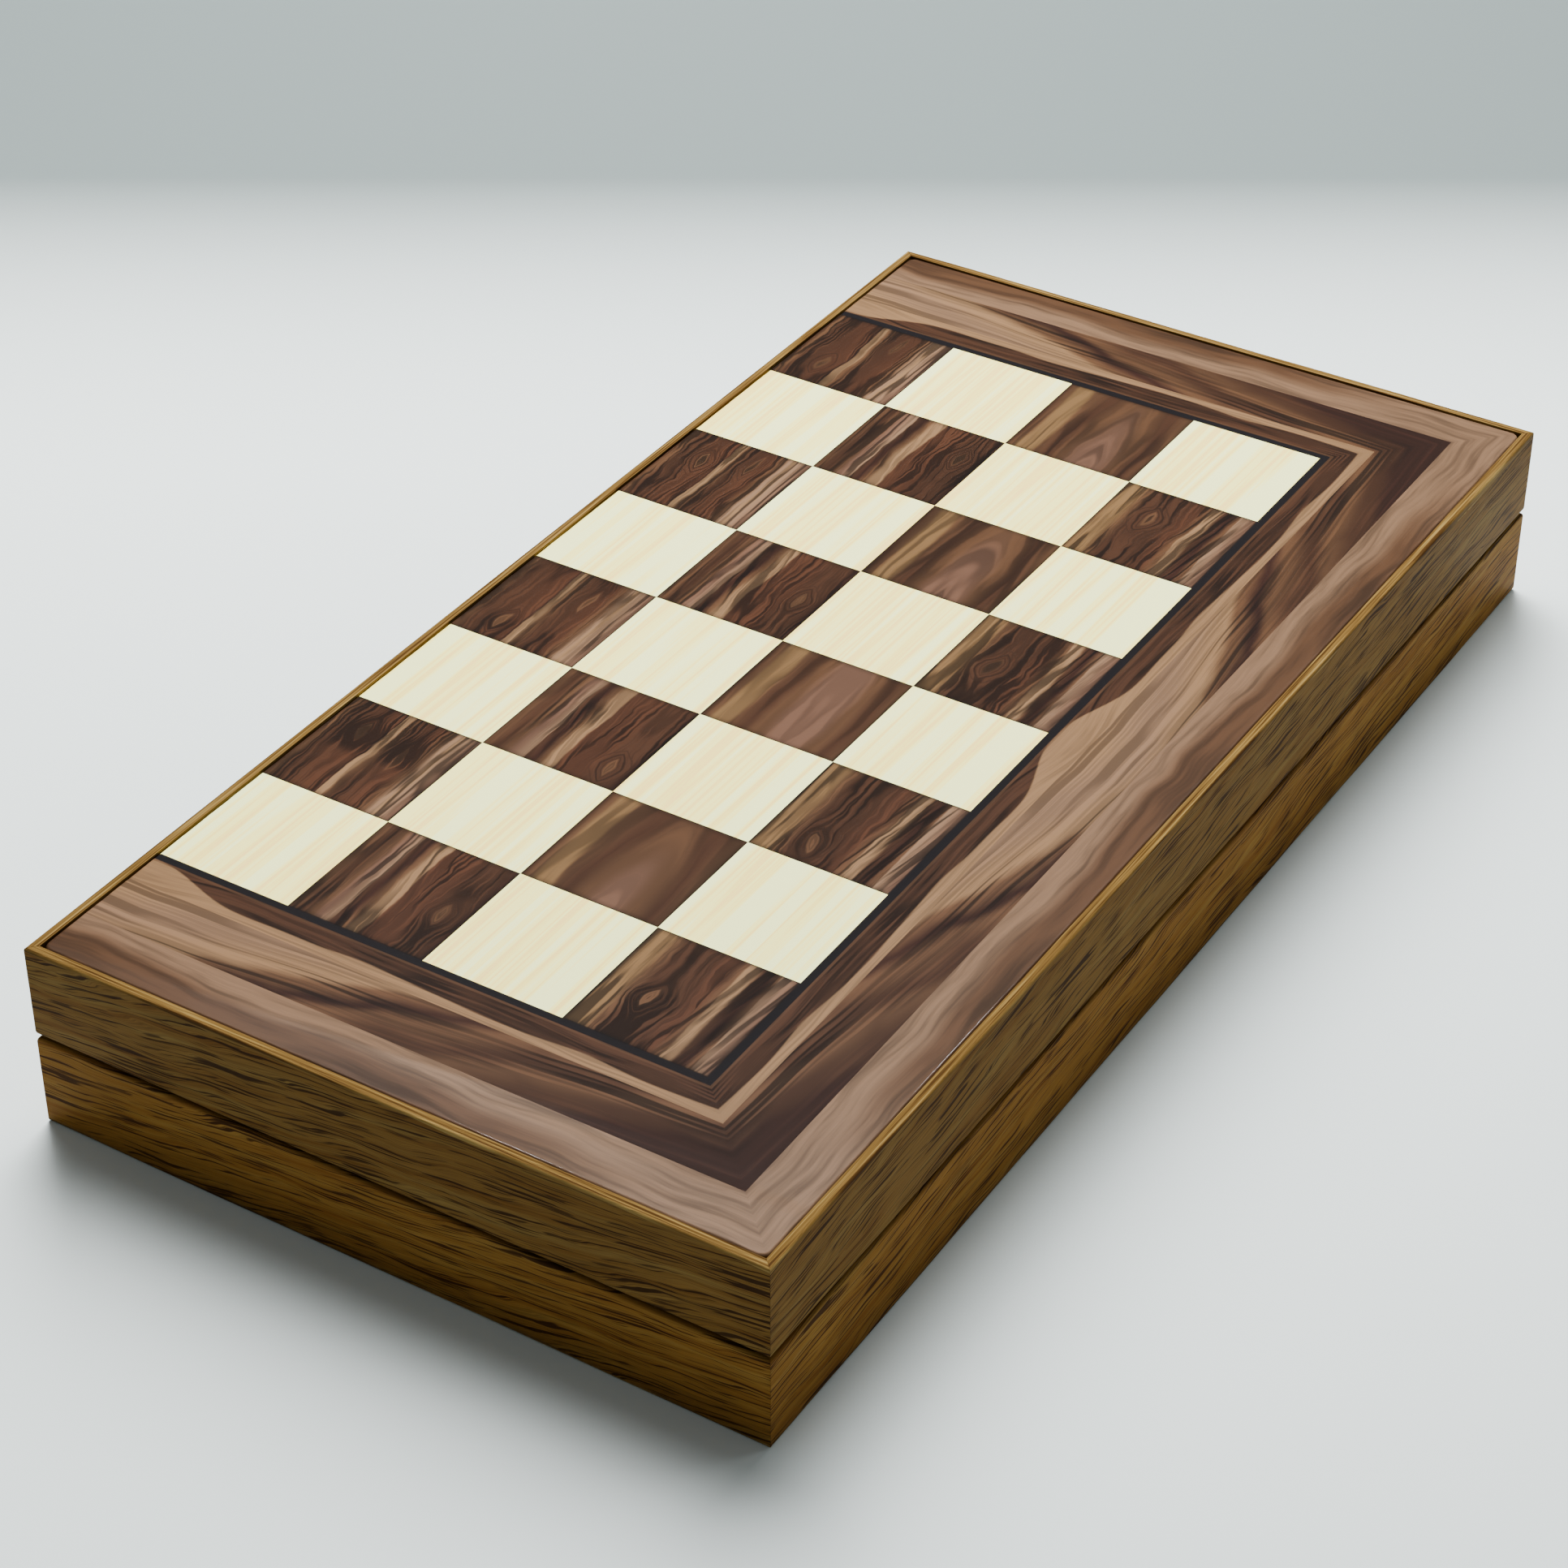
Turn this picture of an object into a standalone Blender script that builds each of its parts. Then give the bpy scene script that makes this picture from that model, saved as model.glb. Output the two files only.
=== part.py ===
"""Folding wooden backgammon set: two mitred oak trays hinged along one long side.

Each tray carries one half of a chess board outside and one half of the backgammon field inside.
Frame: metres, +Z up. The case lies closed, its length along X, its front on -Y and its hinges on +Y.
The origin is under the middle of the closed set, hinge knuckles included, on the table.
"""

import math

import bmesh
import bpy

MM = 0.001

# Driving dimensions of the closed case.
LENGTH = 480 * MM
WIDTH = 243 * MM
HEIGHT = 62.5 * MM
WALL = 11 * MM

# Clearances. PART_GAP is between neighbours that touch on the real object.
PART_GAP = 0.3 * MM
RIM_GAP = 0.4 * MM
TRAY_HEIGHT = (HEIGHT - RIM_GAP) / 2

# Frame walls: the oak strip that shows round the chess panel, and the rounded arrises.
STRIP = 3.1 * MM
RIM_ROUND = 1.6 * MM
FOOT_ROUND = 0.7 * MM
INNER_ROUND = 0.8 * MM
ROUND_STEPS = 3

# Panels of one tray, from the outside in.
PANEL_RECESS = 0.3 * MM
CHESS_PANEL = 4.0 * MM
FIELD_PANEL = 3.0 * MM
CHESS_CORNER = 3.0 * MM
CHESS_EDGE_ROUND = 0.9 * MM
RABBET = PANEL_RECESS + CHESS_PANEL + PART_GAP

# Butt hinges, let into the rims of the two hinge walls.
HINGE_OFFSET = 150 * MM
LEAF_LENGTH = 40 * MM
LEAF_WIDTH = 9 * MM
LEAF_THICKNESS = 1.2 * MM
LEAF_SINK = 0.1 * MM
KNUCKLES = 5
KNUCKLE_RADIUS = 2.0 * MM
KNUCKLE_BORE = 1.25 * MM
PIN_RADIUS = 1.0 * MM
PIN_HEAD_RADIUS = 1.6 * MM
PIN_HEAD = 0.8 * MM
AXIS_OUT = 0.5 * MM
HINGE_SIDES = 20

# Countersunk wood screws, one near each end of a leaf.
SCREW_SPACING = 24 * MM
SCREW_HEAD_RADIUS = 2.1 * MM
SCREW_SHANK_RADIUS = 1.0 * MM
SCREW_HEAD = 1.1 * MM
SCREW_LENGTH = 8 * MM
SCREW_POINT = 2 * MM
SCREW_SIDES = 12

# One magnet in the rim of each front wall holds the case shut.
MAGNET_RADIUS = 4 * MM
MAGNET_THICKNESS = 3 * MM
MAGNET_SIDES = 24

# Playing pieces, stored on the base tray's points.
CHECKER_RADIUS = 16.8 * MM
CHECKER_THICKNESS = 9 * MM
CHECKER_ROUND = 1.3 * MM
CHECKER_SIDES = 20
CHECKERS_PER_POINT = 5
POINTS_USED = 3
POINTS_PER_END = 6
DIE = 12 * MM
DIE_ROUND = 1.2 * MM
DICE = ((9 * MM, -88 * MM, 20), (-14 * MM, -92 * MM, -34))

# Places that follow from the dimensions above.
KNUCKLES_OUT = AXIS_OUT + KNUCKLE_RADIUS
CASE_Y = -KNUCKLES_OUT / 2
HINGE_FACE_Y = CASE_Y + WIDTH / 2
FRONT_FACE_Y = CASE_Y - WIDTH / 2
AXIS_Y = HINGE_FACE_Y + AXIS_OUT
AXIS_Z = HEIGHT / 2
FIELD_BACK = RABBET
FIELD_TOP = FIELD_BACK + FIELD_PANEL
INNER_WIDTH = WIDTH - 2 * WALL
INNER_LENGTH = LENGTH - 2 * WALL
LEAF_TOP = TRAY_HEIGHT - LEAF_SINK
LEAF_ROOT_Y = AXIS_Y - KNUCKLE_RADIUS - PART_GAP
SCREW_Y = (LEAF_ROOT_Y + HINGE_FACE_Y - LEAF_WIDTH) / 2


def material(name, color, roughness, metallic=0.0):
    made = bpy.data.materials.new(name)
    made.use_nodes = True
    shader = made.node_tree.nodes["Principled BSDF"]
    shader.inputs["Base Color"].default_value = (*color, 1)
    shader.inputs["Roughness"].default_value = roughness
    shader.inputs["Metallic"].default_value = metallic
    return made


def clear_scene():
    for obj in list(bpy.data.objects):
        bpy.data.objects.remove(obj)


def add_object(name, mesh_data, finish=None, smooth=None):
    """Puts a bmesh in the scene as a named object; smooth is the angle that stays sharp, in degrees."""
    bmesh.ops.recalc_face_normals(mesh_data, faces=mesh_data.faces)
    if mesh_data.calc_volume(signed=True) < 0:
        bmesh.ops.reverse_faces(mesh_data, faces=mesh_data.faces)
    mesh = bpy.data.meshes.new(name)
    mesh_data.to_mesh(mesh)
    mesh_data.free()
    if smooth is not None:
        mesh.shade_smooth()
        mesh.set_sharp_from_angle(angle=math.radians(smooth))
    if finish is not None:
        mesh.materials.append(finish)
    obj = bpy.data.objects.new(name, mesh)
    bpy.context.scene.collection.objects.link(obj)
    return obj


def loft(rings):
    """A closed bmesh through rings of points, each ring with the same count, with flat ends."""
    made = bmesh.new()
    loops = [[made.verts.new(point) for point in ring] for ring in rings]
    count = len(loops[0])
    for first, second in zip(loops, loops[1:]):
        for i in range(count):
            j = (i + 1) % count
            made.faces.new((first[i], first[j], second[j], second[i]))
    made.faces.new(loops[0])
    made.faces.new(loops[-1])
    return made


def turned(profile, sides):
    """A closed bmesh turned about Z from (radius, height) points that run up the outside."""
    turns = [2 * math.pi * i / sides for i in range(sides)]
    return loft([[(r * math.cos(a), r * math.sin(a), z) for a in turns] for r, z in profile])


def arc(centre, radius, start, end, steps=ROUND_STEPS):
    """Points on an arc in the plane, angles in degrees, both ends included."""
    turns = [math.radians(start + (end - start) * i / steps) for i in range(steps + 1)]
    return [(centre[0] + radius * math.cos(a), centre[1] + radius * math.sin(a)) for a in turns]


def box(low, high):
    made = bmesh.new()
    bmesh.ops.create_cube(made, size=1)
    for vert in made.verts:
        for k in range(3):
            vert.co[k] = (low[k] + high[k]) / 2 + vert.co[k] * (high[k] - low[k])
    return made


def axis_rod(radius, x_low, x_high):
    """A round bar on the hinge axis."""
    turns = [2 * math.pi * (i + 0.5) / HINGE_SIDES for i in range(HINGE_SIDES)]
    section = [(AXIS_Y + radius * math.cos(a), AXIS_Z + radius * math.sin(a)) for a in turns]
    return loft([[(x, y, z) for y, z in section] for x in (x_low, x_high)])


def flip_to_lid(mesh_data):
    """Turns a piece drawn for the base tray into its twin in the lid, across the plane of the rims."""
    for vert in mesh_data.verts:
        vert.co.z = HEIGHT - vert.co.z
    return mesh_data


def in_tray(tray, mesh_data):
    return flip_to_lid(mesh_data) if tray == "lid" else mesh_data


def helper(obj):
    obj.hide_render = True
    obj.display_type = "WIRE"
    return obj


def boolean(obj, other, operation):
    cut = obj.modifiers.new(operation.title() + " " + other.name, "BOOLEAN")
    cut.operation = operation
    cut.solver = "EXACT"
    cut.object = other
    helper(other)


def wall_profile():
    """Section of a wall: (depth in from the outer face, height up from the tray's outer side)."""
    foot = arc((FOOT_ROUND, FOOT_ROUND), FOOT_ROUND, 270, 180)
    rim_outer = arc((RIM_ROUND, TRAY_HEIGHT - RIM_ROUND), RIM_ROUND, 180, 90)
    rim_inner = arc((WALL - INNER_ROUND, TRAY_HEIGHT - INNER_ROUND), INNER_ROUND, 90, 0)
    rabbet = [(WALL, RABBET), (STRIP, RABBET), (STRIP, 0)]
    return foot + rim_outer + rim_inner + rabbet


def wall(tray, side, finish):
    """One mitred board of a tray's frame."""
    is_end = side in ("left_end", "right_end")
    half = (WIDTH if is_end else LENGTH) / 2

    def place(along, depth, height):
        if side == "hinge":
            return (along, HINGE_FACE_Y - depth, height)
        if side == "front":
            return (along, FRONT_FACE_Y + depth, height)
        if side == "left_end":
            return (-LENGTH / 2 + depth, CASE_Y + along, height)
        return (LENGTH / 2 - depth, CASE_Y + along, height)

    rings = []
    for end in (-1, 1):
        ring = [(end * (half - depth - PART_GAP / 2), depth, height) for depth, height in wall_profile()]
        rings.append([place(*point) for point in ring])
    return add_object(f"{tray}_{side}_wall", in_tray(tray, loft(rings)), finish, smooth=40)


def chess_panel(tray, finish):
    """The printed outer panel, with rounded corners and a rolled outer edge."""
    half_x = LENGTH / 2 - STRIP - PART_GAP
    half_y = WIDTH / 2 - STRIP - PART_GAP

    def outline(inset, height):
        points = []
        for turn, (side_x, side_y) in enumerate(((1, 1), (-1, 1), (-1, -1), (1, -1))):
            centre = (side_x * (half_x - CHESS_CORNER), CASE_Y + side_y * (half_y - CHESS_CORNER))
            points += arc(centre, CHESS_CORNER - inset, 90 * turn, 90 * turn + 90)
        return [(x, y, height) for x, y in points]

    edge = arc((CHESS_EDGE_ROUND, CHESS_EDGE_ROUND), CHESS_EDGE_ROUND, 270, 180)
    rings = [outline(inset, PANEL_RECESS + height) for inset, height in edge]
    rings.append(outline(0, PANEL_RECESS + CHESS_PANEL))
    return add_object(f"{tray}_chess_panel", in_tray(tray, loft(rings)), finish, smooth=40)


def field_panel(tray, finish):
    """The inner panel that the game is played on."""
    half_x = INNER_LENGTH / 2 - PART_GAP
    half_y = INNER_WIDTH / 2 - PART_GAP
    low = (-half_x, CASE_Y - half_y, FIELD_BACK)
    high = (half_x, CASE_Y + half_y, FIELD_TOP)
    return add_object(f"{tray}_field_panel", in_tray(tray, box(low, high)), finish)


def knuckle_spans(tray):
    """(start, end) along the leaf of each knuckle that belongs to this tray's leaf."""
    pitch = LEAF_LENGTH / KNUCKLES
    own = [k for k in range(KNUCKLES) if (k % 2 == 0) == (tray == "base")]
    starts = [-LEAF_LENGTH / 2 + k * pitch for k in own]
    return [(start + PART_GAP / 2, start + pitch - PART_GAP / 2) for start in starts]


def leaf_outline(tray, centre_x):
    """Plan of the leaf: fingers reach the axis at its own knuckles and clear the other leaf's."""
    half = (LEAF_LENGTH - PART_GAP) / 2
    edge = []
    for start, end in knuckle_spans(tray):
        edge += [(start, LEAF_ROOT_Y), (start, AXIS_Y), (end, AXIS_Y), (end, LEAF_ROOT_Y)]
    if tray == "base":
        edge = edge[1:-1]
    else:
        edge = [(-half, LEAF_ROOT_Y), *edge, (half, LEAF_ROOT_Y)]
    inner_y = HINGE_FACE_Y - LEAF_WIDTH
    outline = [*edge, (half, inner_y), (-half, inner_y)]
    return [(centre_x + x, y) for x, y in outline]


def sink_profile():
    """Countersunk hole through a leaf, as a turned cutter."""
    through = SCREW_SHANK_RADIUS + PART_GAP
    mouth = SCREW_HEAD_RADIUS + PART_GAP
    return [
        (through, LEAF_TOP - 2 * LEAF_THICKNESS),
        (through, LEAF_TOP - SCREW_HEAD),
        (mouth, LEAF_TOP),
        (mouth, LEAF_TOP + LEAF_THICKNESS),
    ]


def screw_places(centre_x):
    return centre_x - SCREW_SPACING / 2, centre_x + SCREW_SPACING / 2


def turned_at(profile, sides, x, y):
    made = turned(profile, sides)
    bmesh.ops.translate(made, verts=made.verts, vec=(x, y, 0))
    return made


def hinge_leaf(tray, place, centre_x, finish):
    """One leaf with its knuckles, bored for the pin and countersunk for two screws."""
    outline = leaf_outline(tray, centre_x)
    plate = loft([[(x, y, z) for x, y in outline] for z in (LEAF_TOP - LEAF_THICKNESS, LEAF_TOP)])
    leaf = add_object(f"{place}_hinge_{tray}_leaf", in_tray(tray, plate), finish, smooth=40)
    for number, (start, end) in enumerate(knuckle_spans(tray), 1):
        knuckle = axis_rod(KNUCKLE_RADIUS, centre_x + start, centre_x + end)
        boolean(leaf, add_object(f"{leaf.name}_knuckle_{number}", knuckle), "UNION")
    bore = axis_rod(KNUCKLE_BORE, centre_x - LEAF_LENGTH, centre_x + LEAF_LENGTH)
    boolean(leaf, add_object(f"{leaf.name}_bore", bore), "DIFFERENCE")
    for number, x in enumerate(screw_places(centre_x), 1):
        sink = turned_at(sink_profile(), SCREW_SIDES, x, SCREW_Y)
        boolean(leaf, add_object(f"{leaf.name}_sink_{number}", in_tray(tray, sink)), "DIFFERENCE")


def hinge_pin(place, centre_x, finish):
    """The pin, with a small head at each end."""
    half = LEAF_LENGTH / 2 + PART_GAP / 2
    stations = [
        (PIN_HEAD_RADIUS, -half - PIN_HEAD),
        (PIN_HEAD_RADIUS, -half),
        (PIN_RADIUS, -half),
        (PIN_RADIUS, half),
        (PIN_HEAD_RADIUS, half),
        (PIN_HEAD_RADIUS, half + PIN_HEAD),
    ]
    pin = add_object(f"{place}_hinge_pin", turned(stations, HINGE_SIDES), finish, smooth=40)
    pin.location = (centre_x, AXIS_Y, AXIS_Z)
    pin.rotation_euler.y = math.radians(90)


def screw(tray, place, number, x, finish):
    tip = LEAF_TOP - SCREW_LENGTH
    stations = [
        (SCREW_SHANK_RADIUS / 4, tip),
        (SCREW_SHANK_RADIUS, tip + SCREW_POINT),
        (SCREW_SHANK_RADIUS, LEAF_TOP - SCREW_HEAD),
        (SCREW_HEAD_RADIUS, LEAF_TOP - LEAF_SINK),
    ]
    body = turned_at(stations, SCREW_SIDES, x, SCREW_Y)
    add_object(f"{place}_hinge_{tray}_screw_{number}", in_tray(tray, body), finish, smooth=40)


def cut_for_hinge(hinge_wall, tray, place, centre_x):
    """Mortise, knuckle channel and screw holes in a hinge wall."""
    half = LEAF_LENGTH / 2 + PART_GAP
    floor = LEAF_TOP - LEAF_THICKNESS - PART_GAP
    above = TRAY_HEIGHT + WALL
    low = (centre_x - half, HINGE_FACE_Y - LEAF_WIDTH - PART_GAP, floor)
    high = (centre_x + half, HINGE_FACE_Y + WALL, above)
    mortise = add_object(f"{hinge_wall.name}_{place}_mortise", in_tray(tray, box(low, high)))
    boolean(hinge_wall, mortise, "DIFFERENCE")

    reach = LEAF_LENGTH / 2 + PIN_HEAD + 2 * PART_GAP
    channel = axis_rod(KNUCKLE_RADIUS + PART_GAP, centre_x - reach, centre_x + reach)
    boolean(hinge_wall, add_object(f"{hinge_wall.name}_{place}_channel", channel), "DIFFERENCE")

    radius = SCREW_SHANK_RADIUS + PART_GAP
    depths = (LEAF_TOP - SCREW_LENGTH - PART_GAP, above)
    for number, x in enumerate(screw_places(centre_x), 1):
        hole = turned_at([(radius, z) for z in depths], SCREW_SIDES, x, SCREW_Y)
        name = f"{hinge_wall.name}_{place}_hole_{number}"
        boolean(hinge_wall, add_object(name, in_tray(tray, hole)), "DIFFERENCE")


def magnet(tray, front_wall, finish):
    """A disc magnet sunk in the rim, and its pocket in the front wall."""
    y = FRONT_FACE_Y + WALL / 2
    heights = (LEAF_TOP - MAGNET_THICKNESS, LEAF_TOP)
    disc = turned_at([(MAGNET_RADIUS, z) for z in heights], MAGNET_SIDES, 0, y)
    depths = (LEAF_TOP - MAGNET_THICKNESS - PART_GAP, TRAY_HEIGHT + WALL)
    pocket = turned_at([(MAGNET_RADIUS + PART_GAP, z) for z in depths], MAGNET_SIDES, 0, y)
    boolean(front_wall, add_object(f"{tray}_magnet_pocket", in_tray(tray, pocket)), "DIFFERENCE")
    add_object(f"{tray}_magnet", in_tray(tray, disc), finish, smooth=40)


def checkers(color, end, finish):
    """Fifteen checkers of one colour, five on each of the three points nearest the hinges."""
    low = FIELD_TOP + PART_GAP
    high = low + CHECKER_THICKNESS
    stations = [
        (CHECKER_RADIUS - CHECKER_ROUND, low),
        (CHECKER_RADIUS, low + CHECKER_ROUND),
        (CHECKER_RADIUS, high - CHECKER_ROUND),
        (CHECKER_RADIUS - CHECKER_ROUND, high),
    ]
    pitch_x = 2 * CHECKER_RADIUS + 2 * PART_GAP
    pitch_y = INNER_WIDTH / POINTS_PER_END
    first_x = INNER_LENGTH / 2 - CHECKER_RADIUS - 2 * PART_GAP
    for number in range(POINTS_USED * CHECKERS_PER_POINT):
        point, row = divmod(number, CHECKERS_PER_POINT)
        name = f"checker_{color}_{number + 1:02d}"
        checker = add_object(name, turned(stations, CHECKER_SIDES), finish, smooth=60)
        checker.location.x = end * (first_x - row * pitch_x)
        checker.location.y = CASE_Y + INNER_WIDTH / 2 - (point + 0.5) * pitch_y


def die(number, x, y, turn, finish):
    made = box((-DIE / 2, -DIE / 2, 0), (DIE / 2, DIE / 2, DIE))
    bmesh.ops.bevel(made, geom=made.edges, offset=DIE_ROUND, segments=1, affect="EDGES")
    obj = add_object(f"die_{number}", made, finish)
    obj.location = (x, y, FIELD_TOP + PART_GAP)
    obj.rotation_euler.z = math.radians(turn)


def build():
    clear_scene()
    oak = material("oak", (0.33, 0.22, 0.09), 0.5)
    walnut = material("walnut_print", (0.24, 0.12, 0.07), 0.35)
    field = material("field_print", (0.42, 0.27, 0.15), 0.4)
    brass = material("brass", (0.72, 0.52, 0.2), 0.3, metallic=1.0)
    nickel = material("nickel", (0.7, 0.7, 0.68), 0.25, metallic=1.0)
    light = material("light_checker", (0.75, 0.58, 0.36), 0.4)
    dark = material("dark_checker", (0.13, 0.06, 0.035), 0.4)
    ivory = material("die_plastic", (0.85, 0.82, 0.72), 0.25)

    hinges = {"left": -HINGE_OFFSET, "right": HINGE_OFFSET}
    for tray in ("base", "lid"):
        walls = {side: wall(tray, side, oak) for side in ("hinge", "front", "left_end", "right_end")}
        chess_panel(tray, walnut)
        field_panel(tray, field)
        magnet(tray, walls["front"], nickel)
        for place, centre_x in hinges.items():
            cut_for_hinge(walls["hinge"], tray, place, centre_x)
            hinge_leaf(tray, place, centre_x, brass)
            for number, x in enumerate(screw_places(centre_x), 1):
                screw(tray, place, number, x, brass)
    for place, centre_x in hinges.items():
        hinge_pin(place, centre_x, brass)

    checkers("light", -1, light)
    checkers("dark", 1, dark)
    for number, (x, y, turn) in enumerate(DICE, 1):
        die(number, x, y, turn, ivory)


build()
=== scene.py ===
"""Looks of the folding backgammon set: printed and lacquered panels, oak frame, brass, checkers and dice.

Frame: metres, +Z up. The case lies closed, its length along X, its front on -Y and its hinges on +Y.
"""

import math

import bmesh
import bpy
from mathutils import Matrix, Vector


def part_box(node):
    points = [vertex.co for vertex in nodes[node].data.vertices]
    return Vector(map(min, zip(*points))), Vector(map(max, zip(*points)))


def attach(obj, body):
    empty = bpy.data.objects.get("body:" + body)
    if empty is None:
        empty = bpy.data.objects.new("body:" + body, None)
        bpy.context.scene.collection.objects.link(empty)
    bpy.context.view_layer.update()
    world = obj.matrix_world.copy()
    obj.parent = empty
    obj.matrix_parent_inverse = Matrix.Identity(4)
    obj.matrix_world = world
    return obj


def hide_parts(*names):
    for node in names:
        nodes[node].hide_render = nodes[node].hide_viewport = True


MM = 0.001
TRAYS = ("base", "lid")

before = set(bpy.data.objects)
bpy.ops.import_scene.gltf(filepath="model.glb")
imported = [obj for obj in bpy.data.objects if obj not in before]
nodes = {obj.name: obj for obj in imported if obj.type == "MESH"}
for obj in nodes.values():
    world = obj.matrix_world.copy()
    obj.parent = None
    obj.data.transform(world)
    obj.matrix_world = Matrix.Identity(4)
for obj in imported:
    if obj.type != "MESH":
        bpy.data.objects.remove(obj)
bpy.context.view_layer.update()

# Places read from the frame.
WALL_BOX = {side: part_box(f"lid_{side}_wall") for side in ("hinge", "front", "left_end", "right_end")}
HINGE_FACE = WALL_BOX["hinge"][1][1]
FRONT_FACE = WALL_BOX["front"][0][1]
LEFT_FACE = WALL_BOX["left_end"][0][0]
RIGHT_FACE = WALL_BOX["right_end"][1][0]
TOP = WALL_BOX["front"][1][2]
LID_RIM = WALL_BOX["front"][0][2]
MID_Z = TOP / 2
TRAY_HEIGHT = TOP - LID_RIM
WIDTH = HINGE_FACE - FRONT_FACE
LENGTH = RIGHT_FACE - LEFT_FACE
CASE_Y = (HINGE_FACE + FRONT_FACE) / 2
WALL = WALL_BOX["front"][1][1] - FRONT_FACE
PANEL_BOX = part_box("lid_chess_panel")
FIELD_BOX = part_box("base_field_panel")

# Frame boards and the outer panels' rolled edges. MITRE_GAP is how far a board stops short of its mitres.
GAP = 0.3 * MM
STRIP = PANEL_BOX[0][0] - LEFT_FACE - GAP
RABBET = TOP - PANEL_BOX[0][2] + GAP
ARRIS = 0.75 * MM
RIM_ROUND = 1.6 * MM
INNER_ROUND = 0.8 * MM
ROUND_STEPS = 5
MITRE_GAP = 0.04 * MM
STATION = 4 * MM
POCKET_SIDES = 24
CORNER = 3.0 * MM
CORNER_STEPS = 9
EDGE_ROLL = 0.9 * MM
EDGE_STATION = 2.5 * MM
ROLL_STEPS = 6
RIPPLE = 0.035 * MM
RIPPLE_RATE = 0.9

# Playing field: points, their outlines as shares of a point's width, border line and middle ornament.
POINTS_PER_END = 6
POINT_LENGTH = 182 * MM
POINT_BASE = 0.92
POINT_LINE = 0.035
BORDER_LINE = 3.4 * MM
BORDER_HALF_WIDTH = 0.5 * MM
DIAMOND_HALF_LENGTH = 16 * MM
DIAMOND_HALF_WIDTH = 26 * MM

# Checkers. The dish and groove radii are shares of the checker's own radius.
CHECKER_RADIUS = 16.8 * MM
CHECKER_SIDES = 56
CHECKER_ROUND = 1.3 * MM
CHECKER_ROUND_STEPS = 5
CHECKER_HUB = 0.4 * MM
DISH = 0.9 * MM
DISH_CURVE = 0.55
DISH_RADII = (0.52, 0.57, 0.60)
GROOVE = 0.5 * MM
GROOVE_RADII = (0.76, 0.775, 0.80, 0.815)

# Dice. PIP_LIFT is how far a pip's centre stands out of the face, as a share of its radius.
DIE_SIZE = 12 * MM
DIE_ROUND = 1.2 * MM
DIE_ROUND_STEPS = 4
DIE_TURNS = {"die_1": 20, "die_2": -34}
PIP_RADIUS = 1.5 * MM
PIP_SPACING = 3.1 * MM
PIP_LIFT = 0.55
PIP_SIDES = 20
PIP_RINGS = 14

# Screws and hinges. The shank is a share of the head's radius, and the tip a share of the shank's.
SCREW_SIDES = 32
SHANK_SHARE = 0.48
TIP_SHARE = 0.25
TIP_LENGTH = 2 * MM
HEAD_CONE = 1.1 * MM
HEAD_RIM = 0.15 * MM
HEAD_EASE = 0.08 * MM
SLOT_WIDTH = 0.55 * MM
SLOT_DEPTH = 0.45 * MM
SLOT_TURN = 37
HINGE_BEVEL = 0.12 * MM

# The printed board outside, in squares. Along runs from the left end, and across from the hinges.
SQUARE = 46.6 * MM
SQUARES_ALONG = 8
SQUARES_ACROSS = 4
PRINT_CENTRE = 3.989
PRINT_HINGE_EDGE = -0.065
BLACK_LINE = 0.055
BAND_1 = 0.29
BAND_2 = 0.70

# Wood colours, as linear reflectance.
TAN = (0.142, 0.080, 0.038)
OLIVE_TAN = (0.112, 0.062, 0.024)
BROWN = (0.031, 0.0125, 0.0058)
RED_BROWN = (0.043, 0.0160, 0.0072)
DARK_BROWN = (0.017, 0.0058, 0.0034)
MID_BROWN = (0.058, 0.0270, 0.0120)
PINK_BROWN = (0.086, 0.043, 0.026)
PINK_TAN = (0.134, 0.077, 0.043)
BLACK = (0.004, 0.003, 0.004)
CREAM = (0.93, 0.86, 0.29)
CREAM_WARM = (0.92, 0.77, 0.22)
CREAM_PINK = (0.92, 0.69, 0.22)
CREAM_COOL = (0.88, 0.92, 0.42)
OAK = (0.128, 0.068, 0.0170)
OAK_BROWN = (0.104, 0.048, 0.0105)
OAK_OLIVE = (0.145, 0.088, 0.0250)
OAK_PORE = (0.018, 0.007, 0.003)
OAK_GOLD = (0.125, 0.072, 0.020)
OAK_GOLD_DARK = (0.045, 0.021, 0.006)
OAK_GOLD_LIGHT = (0.230, 0.152, 0.048)

# The base's oak is lighter and warmer than the lid's: the warmer hue is the wood's own, and the lightening
# is painted light, making up for the shade low down by the floor. The lid's long boards are rubbed pale in
# spots from RUBBED_START on, fully after RUBBED_FADE more, in millimetres to the right of the case's
# middle.
OAK_BASE_TINT_AND_PAINTED_LIGHT = (1.40, 1.26, 1.00)
RUBBED_START = 155
RUBBED_FADE = 30


# ---------------------------------------------------------------- node arithmetic


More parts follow.
